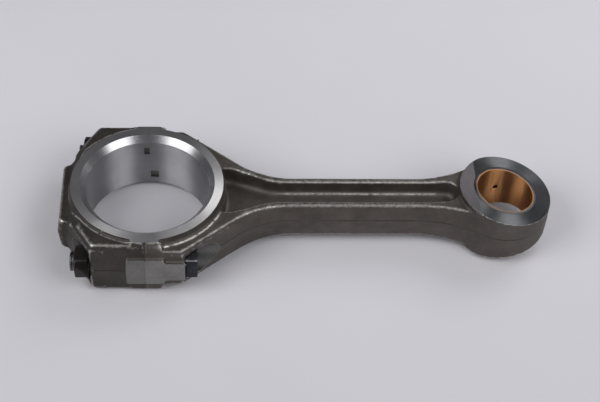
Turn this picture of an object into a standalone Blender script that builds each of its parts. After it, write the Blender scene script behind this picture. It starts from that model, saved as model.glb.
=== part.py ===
# Forged connecting rod of a heavy diesel engine: rod, bolted big-end cap, piston-pin bush,
# two bolts with nuts and two locating pins. Metres, +Z up. The rod lies flat with its bores
# upright: +X runs from the big end to the small end, and z = 0 is the lower thrust face.
# Inside the script, shapes are drawn around the big-end bore: x = y = 0 on its axis and z = 0
# on the mid-plane of the forging, which every part is symmetric about.

import math

import bmesh
import bpy
from mathutils import Matrix

# overall
CENTRE_DISTANCE = 0.2560
GAP = 0.0003
FORGING_DRAFT = math.radians(7.0)
FORGED_EDGE = 0.0016
CORNER_RADIUS = 0.0050

# big end
BIG_END_WIDTH = 0.0496
BIG_BORE = 0.0868
BORE_CHAMFER = 0.0042
THRUST_RING_WALL = 0.0104
THRUST_RING_FOOT = 0.0018
CAP_STEP = 0.0019
BIG_END_SIDE_WALL = 0.0014
PAD_BEYOND_RING = 0.0088
PAD_SPAN = 0.0568
PAD_HEIGHT = 0.0276
PAD_FLAT = 0.0012
PAD_FILLET = 0.0030
SHOULDER_STEP = 0.0073
HEAD_SEAT_LIP = 0.0018
EAR_LENGTH = 0.0290
EAR_CHAMFER = 0.0030
RING_PROUD = 0.0001
BOLT_BOSS_LENGTH = 0.0262
BOLT_BOSS_HEIGHT = 0.0247
BOLT_BOSS_PROUD = 0.0016
LUG_HEIGHT = 0.0172

# cap bolts, nuts and locating pins
BOLT = 0.0138
BOLT_WALL = 0.0011
HEAD = 0.0224
HEAD_HEIGHT = 0.0081
HEAD_ACROSS_FLATS = 0.0152
HEAD_SEAT_X = 0.0274
HEAD_POCKET = 0.0252
NUT_ACROSS_FLATS = 0.0220
NUT_HEIGHT = 0.0096
NUT_TURN = math.radians(11.0)
NUT_SEAT_X = 0.0385
NUT_SEAT_LIP = 0.0005
NUT_POCKET = 0.0320
BOLT_STICKS_OUT = 0.0034
PIN = 0.0050
PIN_LENGTH = 0.0130
PIN_WALL = 0.0048
SHELL_NOTCH_WIDTH = 0.0066
SHELL_NOTCH_OFFSET = 0.0119
SHELL_NOTCH_DEPTH = 0.0015
CAP_NOTCH_LENGTH = 0.0040
ROD_NOTCH_LENGTH = 0.0062

# shank
SHANK_WIDTH = 0.0308
SHANK_HEIGHT = 0.0314
WEB = 0.0104
FLANGE = 0.0062
CHANNEL_MOUTH = 0.0410
CHANNEL_DRAFT = math.radians(9.0)
CHANNEL_FILLET = 0.0042
FLARE_CLEAR = 0.0062
FLARE_LENGTH = 0.0350
BIG_FLARE_RADIUS = 0.0620
FLARE_ANGLE = math.radians(39.0)

# small end
SMALL_END_WIDTH = 0.0428
EYE_WALL = 0.01065
BUSH_BORE = 0.0407
BUSH_WALL = 0.0023
BUSH_CHAMFER = 0.0006
EYE_DRAFT = math.radians(0.8)
SMALL_END_TAPER = math.radians(9.8)
TAPER_START = 0.0210
SMALL_FLARE_RADIUS = 0.0890
OIL_HOLE = 0.0036
OIL_HOLE_ANGLE = math.radians(96.0)

# what follows from them
JOINT_GAP = GAP / 2
THRUST_RING = BIG_BORE + 2 * THRUST_RING_WALL
BOLT_HOLE = BOLT + 2 * GAP
BOLT_Y = BIG_BORE / 2 + BOLT_WALL + BOLT_HOLE / 2
PIN_OFFSET = BOLT_HOLE / 2 + PIN_WALL + PIN / 2
HALF_SPAN = BOLT_Y + BOLT_HOLE / 2 + BIG_END_SIDE_WALL
PAD_REACH = THRUST_RING / 2 + PAD_BEYOND_RING
PAD_DEPTH = CORNER_RADIUS + PAD_FLAT
CAP_HEIGHT = BIG_END_WIDTH - 2 * CAP_STEP
SHOULDER_HEIGHT = BIG_END_WIDTH - 2 * SHOULDER_STEP
SHOULDER_X = HEAD_SEAT_X - HEAD_SEAT_LIP
HALF_SHANK = SHANK_WIDTH / 2
CHANNEL_WIDTH = SHANK_WIDTH - 2 * FLANGE
FLARE_START = THRUST_RING / 2 + FLARE_CLEAR
FLARE_END = FLARE_START + FLARE_LENGTH
BUSH_OUTER = BUSH_BORE / 2 + BUSH_WALL
EYE_RADIUS = BUSH_OUTER + GAP + EYE_WALL
MID_Z = BIG_END_WIDTH / 2
BIG_END_X = (PAD_REACH - CENTRE_DISTANCE - EYE_RADIUS) / 2
BEYOND = 0.02

parts = None
tools = None
bore_axis = None


def clear_scene():
    for thing in list(bpy.data.objects):
        bpy.data.objects.remove(thing, do_unlink=True)


def make_collections():
    global parts, tools, bore_axis
    parts = bpy.data.collections.new("connecting_rod")
    tools = bpy.data.collections.new("cutters")
    for group in (parts, tools):
        bpy.context.scene.collection.children.link(group)
    bore_axis = bpy.data.objects.new("big_end_axis", None)
    bore_axis.location = (BIG_END_X, 0, MID_Z)
    parts.objects.link(bore_axis)


def finish(name, colour, roughness, metallic):
    # one plain metal for each kind of surface
    look = bpy.data.materials.new(name)
    look.use_nodes = True
    shader = look.node_tree.nodes["Principled BSDF"]
    shader.inputs["Base Color"].default_value = (*colour, 1)
    shader.inputs["Roughness"].default_value = roughness
    shader.inputs["Metallic"].default_value = metallic
    return look


def add_object(name, data, look=None):
    thing = bpy.data.objects.new(name, data)
    if look is None:
        tools.objects.link(thing)
        thing.hide_render = True
        thing.display_type = "WIRE"
    else:
        parts.objects.link(thing)
        data.materials.append(look)
        data.shade_smooth()
        data.set_sharp_from_angle(angle=math.radians(30))
    thing.parent = bore_axis
    return thing


def boolean(thing, operation, tool):
    step = thing.modifiers.new(tool.name, "BOOLEAN")
    step.operation = operation
    step.solver = "EXACT"
    step.object = tool


def mesh_from(build):
    shape = bmesh.new()
    build(shape)
    mesh = bpy.data.meshes.new("shape")
    shape.to_mesh(mesh)
    shape.free()
    return mesh


def rounded(corners):
    # corners are (x, y, radius); each radius becomes an arc that touches both its sides
    points = []
    for i, (x, y, radius) in enumerate(corners):
        if radius == 0:
            points.append((x, y))
            continue
        before = corners[i - 1]
        after = corners[(i + 1) % len(corners)]
        to_before = math.atan2(before[1] - y, before[0] - x)
        to_after = math.atan2(after[1] - y, after[0] - x)
        opening = (to_after - to_before + math.pi) % (2 * math.pi) - math.pi
        half = abs(opening) / 2
        middle = to_before + opening / 2
        reach = radius / math.sin(half)
        centre_x = x + reach * math.cos(middle)
        centre_y = y + reach * math.sin(middle)
        turn = math.pi - abs(opening)
        steps = max(2, math.ceil(math.degrees(turn) / (5 if radius > 0.02 else 12)))
        for step in range(steps + 1):
            angle = middle + math.pi + math.copysign(turn, opening) * (0.5 - step / steps)
            points.append((centre_x + radius * math.cos(angle), centre_y + radius * math.sin(angle)))
    return points


def mirrored(half):
    # a half outline from left to right along +Y, closed by its mirror image below
    return [(x, -y, r) for x, y, r in half] + [(x, y, r) for x, y, r in reversed(half)]


def outline_curve(name, points, closed):
    curve = bpy.data.curves.new(name, "CURVE")
    curve.dimensions = "2D"
    spline = curve.splines.new("POLY")
    spline.points.add(len(points) - 1)
    for point, (x, y) in zip(spline.points, points):
        point.co = (x, y, 0, 1)
    spline.use_cyclic_u = closed
    return bpy.data.objects.new(name, curve)


def plate_mesh(name, corners, section):
    # a filled outline whose side wall follows the section: (inset, height) from bottom to top
    outline = outline_curve(name, rounded(corners), True)
    wall = outline_curve(name + "_wall", section, False)
    for thing in (outline, wall):
        bpy.context.scene.collection.objects.link(thing)
    outline.data.bevel_mode = "OBJECT"
    outline.data.bevel_object = wall
    outline.data.fill_mode = "NONE"
    shown = outline.evaluated_get(bpy.context.evaluated_depsgraph_get())
    mesh = bpy.data.meshes.new_from_object(shown)
    shape = bmesh.new()
    shape.from_mesh(mesh)
    bmesh.ops.remove_doubles(shape, verts=shape.verts, dist=0.00001)
    rims = [edge for edge in shape.edges if edge.is_boundary]
    bmesh.ops.holes_fill(shape, edges=rims, sides=0)
    bmesh.ops.recalc_face_normals(shape, faces=shape.faces)
    if shape.calc_volume(signed=True) < 0:
        bmesh.ops.reverse_faces(shape, faces=shape.faces)
    shape.to_mesh(mesh)
    shape.free()
    for thing in (outline, wall):
        bpy.data.objects.remove(thing, do_unlink=True)
    return mesh


def forged_wall(height):
    # widest at the parting plane of the dies, drafted both ways, with rounded edges
    half = height / 2
    slope = math.tan(FORGING_DRAFT)
    top = half - FORGED_EDGE
    upper = [(top * slope, top)]
    for step in (1, 2):
        angle = math.radians(45 * step)
        across = top * slope + FORGED_EDGE * (1 - math.cos(angle))
        upper.append((across, top + FORGED_EDGE * math.sin(angle)))
    lower = [(inset, -z) for inset, z in reversed(upper)]
    return lower + [(0, 0)] + upper


def straight_wall(half):
    return [(0, -half), (0, half)]


def plate_tool(name, corners, section):
    return add_object(name, plate_mesh(name, corners, section))


def side_view_tool(name, corners, half_width):
    # the same outline seen from the side: drawn in x and z, thick along y
    mesh = plate_mesh(name, corners, straight_wall(half_width))
    mesh.transform(Matrix.Rotation(math.radians(90), 4, "X"))
    return add_object(name, mesh)


def box_tool(name, low, high):
    size = [b - a for a, b in zip(low, high)]
    centre = [(a + b) / 2 for a, b in zip(low, high)]
    place = Matrix.Translation(centre) @ Matrix.Diagonal((*size, 1))
    return add_object(name, mesh_from(lambda shape: bmesh.ops.create_cube(shape, size=1, matrix=place)))


def cylinder_tool(name, diameter, start, length, axis="Z", segments=64):
    # starts at a point and runs along +X, or along Z centred on the point
    place = Matrix.Translation(start)
    if axis == "X":
        place = place @ Matrix.Rotation(math.radians(90), 4, "Y") @ Matrix.Translation((0, 0, length / 2))

    def build(shape):
        bmesh.ops.create_cone(shape, cap_ends=True, segments=segments, radius1=diameter / 2,
                              radius2=diameter / 2, depth=length, matrix=place)

    return add_object(name, mesh_from(build))


def turned(name, profile, segments, look=None):
    # profile is (radius, z) down the outer side, closed on itself or ended on the axis
    mesh = bpy.data.meshes.new(name)
    points = [(radius, 0, z) for radius, z in profile]
    edges = [(i, i + 1) for i in range(len(points) - 1)]
    if profile[0][0] > 0:
        edges.append((len(points) - 1, 0))
    mesh.from_pydata(points, edges, [])
    thing = add_object(name, mesh, look)
    screw = thing.modifiers.new("turn", "SCREW")
    screw.steps = segments
    screw.render_steps = segments
    screw.use_merge_vertices = True
    screw.merge_threshold = 0.00001
    screw.use_smooth_shade = False
    return thing


def chamfered_bore(name, diameter, chamfer, width):
    # an upright bore with a 45 degree countersink at both faces
    radius = diameter / 2
    half = width / 2
    wide = radius + chamfer + BEYOND
    profile = [(0, half + BEYOND), (wide, half + BEYOND), (radius, half - chamfer), (radius, chamfer - half),
               (wide, -half - BEYOND), (0, -half - BEYOND)]
    return turned(name, profile, 128)


def thrust_ring():
    half = BIG_END_WIDTH / 2
    outer = THRUST_RING / 2
    foot = outer + THRUST_RING_FOOT
    shelf = SHOULDER_HEIGHT / 2 + THRUST_RING_FOOT / 2
    profile = [(0, half), (outer, half), (outer, shelf + THRUST_RING_FOOT), (foot, shelf),
               (foot, -shelf), (outer, -shelf - THRUST_RING_FOOT), (outer, -half), (0, -half)]
    return turned("thrust_ring", profile, 128)


def ears():
    # the machined lands beside the ring, over the joint
    half = BIG_END_WIDTH / 2 - RING_PROUD
    slope = math.tan(FORGING_DRAFT)
    edge = half - EAR_CHAMFER
    section = [(edge * slope + EAR_CHAMFER, -half), (edge * slope, -edge), (0, 0),
               (edge * slope, edge), (edge * slope + EAR_CHAMFER, half)]
    reach = HALF_SPAN + BOLT_BOSS_PROUD / 2
    x = EAR_LENGTH / 2
    return plate_tool("ears", mirrored([(-x, reach, 0), (x, reach, 0)]), section)


def bolt_bosses():
    reach = HALF_SPAN + BOLT_BOSS_PROUD
    half = BOLT_BOSS_LENGTH / 2
    high = BOLT_BOSS_HEIGHT / 2
    boss = box_tool("bolt_bosses", (-half, -reach, -high), (half, reach, high))
    # the lugs run on past the seats, and the pockets trim them
    end = HEAD_SEAT_X + HEAD_SEAT_LIP
    lug = box_tool("head_lugs", (0, -reach, -LUG_HEIGHT / 2), (end, reach, LUG_HEIGHT / 2))
    return boss, lug


def bolt_holes(thing, side, y):
    tail = NUT_SEAT_X + BEYOND
    shank = cylinder_tool("bolt_hole_" + side, BOLT_HOLE, (-tail, y, 0), tail + HEAD_SEAT_X + BEYOND, "X", 48)
    boolean(thing, "DIFFERENCE", shank)


def pin_place(side):
    # one pin stands above the front bolt and the other below the back bolt
    return (-BOLT_Y, PIN_OFFSET) if side == "front" else (BOLT_Y, -PIN_OFFSET)


def machine_big_end(thing, bore):
    boolean(thing, "DIFFERENCE", bore)
    for side, y in (("front", -BOLT_Y), ("back", BOLT_Y)):
        bolt_holes(thing, side + "_" + thing.name, y)
        pin_y, pin_z = pin_place(side)
        length = PIN_LENGTH + 2 * GAP
        hole = cylinder_tool("pin_hole_" + side + "_" + thing.name, PIN + 2 * GAP,
                             (-length / 2, pin_y, pin_z), length, "X", 24)
        boolean(thing, "DIFFERENCE", hole)


def shell_notches(thing, length, direction):
    # the slots that hold the tangs of the bearing shells, at the back of the bore
    for name, z in (("upper", SHELL_NOTCH_OFFSET), ("lower", -SHELL_NOTCH_OFFSET)):
        depth = BIG_BORE / 2 + SHELL_NOTCH_DEPTH
        x0, x1 = sorted((-direction * GAP, direction * length))
        low = (x0, BIG_BORE / 2 - 0.004, z - SHELL_NOTCH_WIDTH / 2)
        high = (x1, depth, z + SHELL_NOTCH_WIDTH / 2)
        if (direction > 0) == (z < 0):
            boolean(thing, "DIFFERENCE", box_tool("notch_" + name + "_" + thing.name, low, high))


def rod_outline():
    shank_end = CENTRE_DISTANCE - math.sqrt((EYE_RADIUS + SMALL_FLARE_RADIUS) ** 2
                                            - (HALF_SHANK + SMALL_FLARE_RADIUS) ** 2)
    contact = SMALL_FLARE_RADIUS / (SMALL_FLARE_RADIUS + EYE_RADIUS)
    contact_y = (HALF_SHANK + SMALL_FLARE_RADIUS) * (1 - contact)
    run = (HALF_SPAN - HALF_SHANK) / math.tan(FLARE_ANGLE)
    return mirrored([
        (-0.010, HALF_SPAN, 0),
        (SHOULDER_X, HALF_SPAN, CORNER_RADIUS),
        (SHOULDER_X + run, HALF_SHANK, BIG_FLARE_RADIUS),
        *small_flare(shank_end),
        (CENTRE_DISTANCE, contact_y, 0),
    ])


def small_flare(start):
    # the shank widens on an arc until it meets the eye
    points = []
    end = math.atan2(CENTRE_DISTANCE - start, HALF_SHANK + SMALL_FLARE_RADIUS)
    for step in range(9):
        angle = end * step / 8
        x = start + SMALL_FLARE_RADIUS * math.sin(angle)
        y = HALF_SHANK + SMALL_FLARE_RADIUS * (1 - math.cos(angle))
        points.append((x, y, 0))
    return points


def rod_side_view():
    high = SMALL_END_WIDTH / 2 - 0.004
    low = SHANK_HEIGHT / 2
    start = CENTRE_DISTANCE - EYE_RADIUS - 0.022
    return mirrored([
        (-0.02, SHOULDER_HEIGHT / 2, 0),
        (FLARE_START, SHOULDER_HEIGHT / 2, 0.08),
        (FLARE_END, low, 0.08),
        (start, low, 0.06),
        (CENTRE_DISTANCE - EYE_RADIUS + 0.004, high, 0),
        (CENTRE_DISTANCE + BEYOND, high, 0),
    ])


def channels():
    # the pocket that makes the shank an I section, cut from above and from below
    floor = WEB / 2
    top = SHOULDER_HEIGHT / 2 + 0.002
    slope = math.tan(CHANNEL_DRAFT)
    start = floor + CHANNEL_FILLET
    base = (SHANK_HEIGHT / 2 - start) * slope
    section = [(base + CHANNEL_FILLET, floor)]
    for step in (1, 2, 3):
        angle = math.radians(30 * step)
        section.append((base + CHANNEL_FILLET * (1 - math.sin(angle)), start - CHANNEL_FILLET * math.cos(angle)))
    section.append((base - (top - start) * slope, top))
    half = CHANNEL_WIDTH / 2
    end = CENTRE_DISTANCE - EYE_RADIUS
    mouth = CHANNEL_MOUTH / 2
    corners = mirrored([
        (BIG_BORE / 2 + 0.0016, mouth, 0),
        (FLARE_START, mouth, 0.012),
        (FLARE_END - 0.006, half, 0.045),
        (end, half, half * 0.96),
    ])
    upper = plate_tool("upper_channel", corners, section)
    lower_section = [(inset, -z) for inset, z in reversed(section)]
    lower = plate_tool("lower_channel", corners, lower_section)
    return upper, lower


def eye_boss():
    half = SMALL_END_WIDTH / 2
    inset = half * math.tan(EYE_DRAFT)
    edge = 0.0008
    profile = [(0, half), (EYE_RADIUS - inset - edge, half), (EYE_RADIUS - inset, half - edge), (EYE_RADIUS, 0),
               (EYE_RADIUS - inset, edge - half), (EYE_RADIUS - inset - edge, -half), (0, -half)]
    boss = turned("eye_boss", profile, 109)
    boss.location.x = CENTRE_DISTANCE
    return boss


def taper_cutters(name, sink=0.0):
    # both faces of the small end slope towards each other past the taper start
    slope = math.tan(SMALL_END_TAPER)
    start = CENTRE_DISTANCE - TAPER_START - BEYOND
    end = CENTRE_DISTANCE + EYE_RADIUS + BEYOND
    face = SMALL_END_WIDTH / 2 - sink + BEYOND * slope
    drop = (end - start) * slope
    cutters = []
    for side, sign in (("upper", 1), ("lower", -1)):
        corners = [(start, sign * face, 0), (end, sign * (face - drop), 0), (end, sign * (face + BEYOND), 0),
                   (start, sign * (face + BEYOND), 0)]
        if sign < 0:
            corners.reverse()
        cutters.append(side_view_tool(name + "_" + side, corners, EYE_RADIUS + BEYOND))
    return cutters


def oil_hole(name):
    length = EYE_RADIUS + BEYOND
    place = Matrix.Translation((CENTRE_DISTANCE, 0, 0)) @ Matrix.Rotation(OIL_HOLE_ANGLE, 4, "Z")
    place = place @ Matrix.Rotation(math.radians(90), 4, "Y") @ Matrix.Translation((0, 0, length / 2))

    def build(shape):
        bmesh.ops.create_cone(shape, cap_ends=True, segments=24, radius1=OIL_HOLE / 2, radius2=OIL_HOLE / 2,
                              depth=length, matrix=place)

    return add_object(name, mesh_from(build))


def make_rod(steel, joined, bore):
    rod = add_object("connecting_rod_body", plate_mesh("rod", rod_outline(), forged_wall(SMALL_END_WIDTH)), steel)
    boolean(rod, "INTERSECT", side_view_tool("rod_side_view", rod_side_view(), HALF_SPAN + BEYOND))
    for channel in channels():
        boolean(rod, "DIFFERENCE", channel)
    boolean(rod, "UNION", eye_boss())
    for tool in joined:
        boolean(rod, "UNION", tool)
    far = HALF_SPAN + BEYOND
    boolean(rod, "DIFFERENCE", box_tool("cap_side", (-0.1, -far, -far), (JOINT_GAP, far, far)))
    for cutter in taper_cutters("rod_taper"):
        boolean(rod, "DIFFERENCE", cutter)
    eye_bore = cylinder_tool("eye_bore", 2 * (BUSH_OUTER + GAP), (CENTRE_DISTANCE, 0, 0), 0.1, "Z", 96)
    boolean(rod, "DIFFERENCE", eye_bore)
    boolean(rod, "DIFFERENCE", oil_hole("rod_oil_hole"))
    for side, y in (("front", -BOLT_Y), ("back", BOLT_Y)):
        pocket = cylinder_tool("head_pocket_" + side, HEAD_POCKET, (HEAD_SEAT_X, y, 0), 0.045, "X", 48)
        boolean(rod, "DIFFERENCE", pocket)
    machine_big_end(rod, bore)
    shell_notches(rod, ROD_NOTCH_LENGTH, 1)
    return rod


def cap_outline():
    pad = PAD_SPAN / 2
    return mirrored([
        (-PAD_REACH, pad, CORNER_RADIUS),
        (PAD_DEPTH - PAD_REACH, pad + PAD_DEPTH * math.tan(FORGING_DRAFT), PAD_FILLET),
        (NUT_SEAT_LIP - NUT_SEAT_X, HALF_SPAN, CORNER_RADIUS),
        (0.010, HALF_SPAN, 0),
    ])


def pad_steps():
    # the back of the cap steps down to the balancing pad, above and below
    pad = PAD_HEIGHT / 2
    above = CAP_HEIGHT / 2 + 0.003
    ledge = THRUST_RING / 2
    upper = [
        (-PAD_REACH - BEYOND, pad, 0),
        (-ledge - 0.002, pad, 0.003),
        (-ledge + 0.011, above, 0),
        (-ledge + 0.011, above + BEYOND, 0),
        (-PAD_REACH - BEYOND, above + BEYOND, 0),
    ]
    lower = [(x, -z, radius) for x, z, radius in reversed(upper)]
    reach = HALF_SPAN + BEYOND
    return side_view_tool("pad_step_upper", upper, reach), side_view_tool("pad_step_lower", lower, reach)


def make_cap(steel, joined, bore):
    cap = add_object("big_end_cap", plate_mesh("cap", cap_outline(), forged_wall(CAP_HEIGHT)), steel)
    for step in pad_steps():
        boolean(cap, "DIFFERENCE", step)
    for tool in joined:
        boolean(cap, "UNION", tool)
    far = HALF_SPAN + BEYOND
    boolean(cap, "DIFFERENCE", box_tool("rod_side", (-JOINT_GAP, -far, -far), (0.1, far, far)))
    for side, y in (("front", -BOLT_Y), ("back", BOLT_Y)):
        start = -PAD_REACH - BEYOND
        pocket = cylinder_tool("nut_pocket_" + side, NUT_POCKET, (start, y, 0), -NUT_SEAT_X - start, "X", 56)
        boolean(cap, "DIFFERENCE", pocket)
    machine_big_end(cap, bore)
    shell_notches(cap, CAP_NOTCH_LENGTH, -1)
    return cap


def make_bush(bronze):
    half = SMALL_END_WIDTH / 2
    inner = BUSH_BORE / 2
    profile = [(BUSH_OUTER, half), (BUSH_OUTER, -half), (inner + BUSH_CHAMFER, -half), (inner, BUSH_CHAMFER - half),
               (inner, half - BUSH_CHAMFER), (inner + BUSH_CHAMFER, half)]
    bush = turned("small_end_bush", profile, 96, bronze)
    bush.location.x = CENTRE_DISTANCE
    for cutter in taper_cutters("bush_taper", GAP / 2):
        boolean(bush, "DIFFERENCE", cutter)
    boolean(bush, "DIFFERENCE", oil_hole("bush_oil_hole"))
    return bush


def make_bolt(side, y, steel):
    radius = BOLT / 2
    under_head = HEAD_SEAT_X + GAP
    top = under_head + HEAD_HEIGHT
    tip = -(NUT_SEAT_X + GAP + NUT_HEIGHT + BOLT_STICKS_OUT)
    edge = 0.0010
    profile = [(0, top), (HEAD / 2 - edge, top), (HEAD / 2, top - edge), (HEAD / 2, under_head),
               (radius, under_head), (radius, tip + edge), (radius - edge, tip), (0, tip)]
    bolt = turned("cap_bolt_" + side, profile, 48, steel)
    bolt.rotation_euler = (0, math.radians(90), 0)
    bolt.location = (0, y, 0)
    for name, sign in (("inner", -1), ("outer", 1)):
        near = y + sign * HEAD_ACROSS_FLATS / 2
        far = y + sign * HEAD
        low, high = sorted((near, far))
        flat = box_tool("head_flat_" + name + "_" + side, (under_head - GAP / 2, low, -HEAD),
                        (top + BEYOND, high, HEAD))
        boolean(bolt, "DIFFERENCE", flat)
    return bolt


def make_nut(side, y, steel):
    corner = NUT_ACROSS_FLATS / math.sqrt(3)
    start = -(NUT_SEAT_X + GAP + NUT_HEIGHT)
    turn = NUT_TURN if side == "front" else -NUT_TURN
    place = Matrix.Translation((start + NUT_HEIGHT / 2, y, 0)) @ Matrix.Rotation(turn, 4, "X")
    place = place @ Matrix.Rotation(math.radians(90), 4, "Y")

    def build(shape):
        bmesh.ops.create_cone(shape, cap_ends=True, segments=6, radius1=corner, radius2=corner,
                              depth=NUT_HEIGHT, matrix=place)

    nut = add_object("cap_nut_" + side, mesh_from(build), steel)
    flat = NUT_ACROSS_FLATS / 2
    half = NUT_HEIGHT / 2
    outside = corner + 0.001
    crown_drop = (outside - flat) * math.tan(math.radians(30))
    crown = turned("nut_crown_" + side, [(0, half), (flat, half), (outside, half - crown_drop),
                                         (outside, crown_drop - half), (flat, -half), (0, -half)], 60)
    crown.rotation_euler = (0, math.radians(90), 0)
    crown.location = (start + half, y, 0)
    boolean(nut, "INTERSECT", crown)
    thread = cylinder_tool("nut_thread_" + side, BOLT + 2 * GAP, (start - 0.01, y, 0), NUT_HEIGHT + 0.02, "X", 48)
    boolean(nut, "DIFFERENCE", thread)
    return nut


def make_pin(side, steel):
    y, z = pin_place(side)
    radius = PIN / 2
    half = PIN_LENGTH / 2
    edge = 0.0005
    profile = [(0, half), (radius - edge, half), (radius, half - edge), (radius, edge - half), (radius - edge, -half),
               (0, -half)]
    pin = turned("locating_pin_" + side, profile, 24, steel)
    pin.rotation_euler = (0, math.radians(90), 0)
    pin.location = (0, y, z)
    return pin


def main():
    clear_scene()
    make_collections()
    forged = finish("forged steel", (0.085, 0.080, 0.074), 0.5, 0.9)
    capped = finish("forged cap steel", (0.090, 0.084, 0.077), 0.5, 0.9)
    bronze = finish("bush bronze", (0.55, 0.30, 0.13), 0.3, 1.0)
    black = finish("bolt steel", (0.030, 0.035, 0.045), 0.45, 0.9)
    dark = finish("nut steel", (0.045, 0.045, 0.048), 0.5, 0.9)
    bright = finish("pin steel", (0.35, 0.35, 0.36), 0.3, 1.0)
    bore = chamfered_bore("big_bore", BIG_BORE, BORE_CHAMFER, BIG_END_WIDTH)
    joined = [thrust_ring(), ears(), *bolt_bosses()]
    make_rod(forged, joined, bore)
    make_cap(capped, joined, bore)
    make_bush(bronze)
    for side, y in (("front", -BOLT_Y), ("back", BOLT_Y)):
        make_bolt(side, y, black)
        make_nut(side, y, dark)
        make_pin(side, bright)


main()
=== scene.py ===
import math

import bpy
import numpy as np
from mathutils import Matrix, Vector


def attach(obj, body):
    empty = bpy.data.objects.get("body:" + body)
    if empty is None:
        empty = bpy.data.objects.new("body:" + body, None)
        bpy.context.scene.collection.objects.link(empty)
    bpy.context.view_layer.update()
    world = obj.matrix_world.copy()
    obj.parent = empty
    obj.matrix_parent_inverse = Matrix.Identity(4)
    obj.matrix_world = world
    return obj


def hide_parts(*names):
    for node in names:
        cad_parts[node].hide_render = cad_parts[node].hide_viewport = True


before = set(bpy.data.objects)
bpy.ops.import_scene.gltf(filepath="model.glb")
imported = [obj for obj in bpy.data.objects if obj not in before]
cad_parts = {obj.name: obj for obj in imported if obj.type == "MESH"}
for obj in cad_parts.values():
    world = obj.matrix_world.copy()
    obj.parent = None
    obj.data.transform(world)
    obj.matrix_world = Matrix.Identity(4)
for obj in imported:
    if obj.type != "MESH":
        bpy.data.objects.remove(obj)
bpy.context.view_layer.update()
print("frame loaded")

# the places that every piece is cut to, in metres
place = {
    "bigAxisX": -0.1135,
    "smallAxisX": 0.1425,
    "middleZ": 0.0248,
    "topZ": 0.0496,
    "boltY": 0.0517,
}
bigX = place["bigAxisX"]
smallX = place["smallAxisX"]
midZ = place["middleZ"]
topZ = place["topZ"]
boltY = place["boltY"]


def deselectAll():
    if bpy.context.object and bpy.context.object.mode != "OBJECT":
        bpy.ops.object.mode_set(mode="OBJECT")
    bpy.ops.object.select_all(action="DESELECT")


def makeActive(piece):
    deselectAll()
    piece.select_set(True)
    bpy.context.view_layer.objects.active = piece


def added(name):
    piece = bpy.context.object
    piece.name = name
    piece.data.name = name
    bpy.ops.object.transform_apply(location=True, rotation=True, scale=True)
    return piece


def addBox(name, low, high):
    deselectAll()
    centre = [(a + b) / 2 for a, b in zip(low, high)]
    size = [b - a for a, b in zip(low, high)]
    bpy.ops.mesh.primitive_cube_add(size=1, location=centre, scale=size)
    return added(name)


def addRound(name, radius, start, end, farRadius=None, segments=128):
    # a cylinder or cone between two points
    deselectAll()
    start, end = Vector(start), Vector(end)
    along = end - start
    turn = Vector((0, 0, 1)).rotation_difference(along).to_euler()
    bpy.ops.mesh.primitive_cone_add(vertices=segments, radius1=radius, radius2=farRadius or radius,
                                    depth=along.length, location=(start + end) / 2, rotation=turn)
    return added(name)


def applyModifier(piece, kind, **settings):
    makeActive(piece)
    step = piece.modifiers.new(kind.lower(), kind)
    for key, value in settings.items():
        setattr(step, key, value)
    bpy.ops.object.modifier_apply(modifier=step.name)


def combine(piece, operation, *tools):
    for tool in tools:
        applyModifier(piece, "BOOLEAN", operation=operation, solver="MANIFOLD", object=tool)
        bpy.data.objects.remove(tool, do_unlink=True)


def facePlaces(piece):
    # centres and normals of all faces, as two arrays
    count = len(piece.data.polygons)
    centres = np.empty(count * 3)
    normals = np.empty(count * 3)
    piece.data.polygons.foreach_get("center", centres)
    piece.data.polygons.foreach_get("normal", normals)
    return centres.reshape(-1, 3), normals.reshape(-1, 3)


def selectFaces(piece, chosen):
    mesh = piece.data
    mesh.vertices.foreach_set("select", np.zeros(len(mesh.vertices), bool))
    mesh.edges.foreach_set("select", np.zeros(len(mesh.edges), bool))
    mesh.polygons.foreach_set("select", chosen)
    makeActive(piece)
    bpy.ops.object.mode_set(mode="EDIT")
    bpy.ops.mesh.select_mode(type="FACE")


def leaveStock(piece, chosen, move):
    # forging left on a face, to be machined away later
    selectFaces(piece, chosen)
    bpy.ops.mesh.extrude_region_move(TRANSFORM_OT_translate={"value": move})
    bpy.ops.object.mode_set(mode="OBJECT")


def copyOfNode(node, name):
    deselectAll()
    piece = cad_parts[node].copy()
    piece.data = piece.data.copy()
    piece.name = name
    piece.data.name = name
    bpy.context.scene.collection.objects.link(piece)
    piece.parent = None
    piece.matrix_world = Matrix.Identity(4)
    piece.data.materials.clear()
    makeActive(piece)
    bpy.ops.object.mode_set(mode="EDIT")
    bpy.ops.mesh.select_all(action="SELECT")
    bpy.ops.mesh.remove_doubles(threshold=0.000002)
    bpy.ops.object.mode_set(mode="OBJECT")
    return piece


def smoothShade(piece, angle=32):
    makeActive(piece)
    bpy.ops.object.shade_smooth_by_angle(angle=math.radians(angle))


def paint(piece, rules, looks):
    # each rule gives the faces that one look covers; the last rule that fits wins
    piece.data.materials.clear()
    for look in looks:
        piece.data.materials.append(look)
    centres, normals = facePlaces(piece)
    index = np.zeros(len(centres), np.int32)
    for number, rule in rules:
        index[rule(centres, normals)] = number
    piece.data.polygons.foreach_set("material_index", index)
    piece.data.update()


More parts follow.
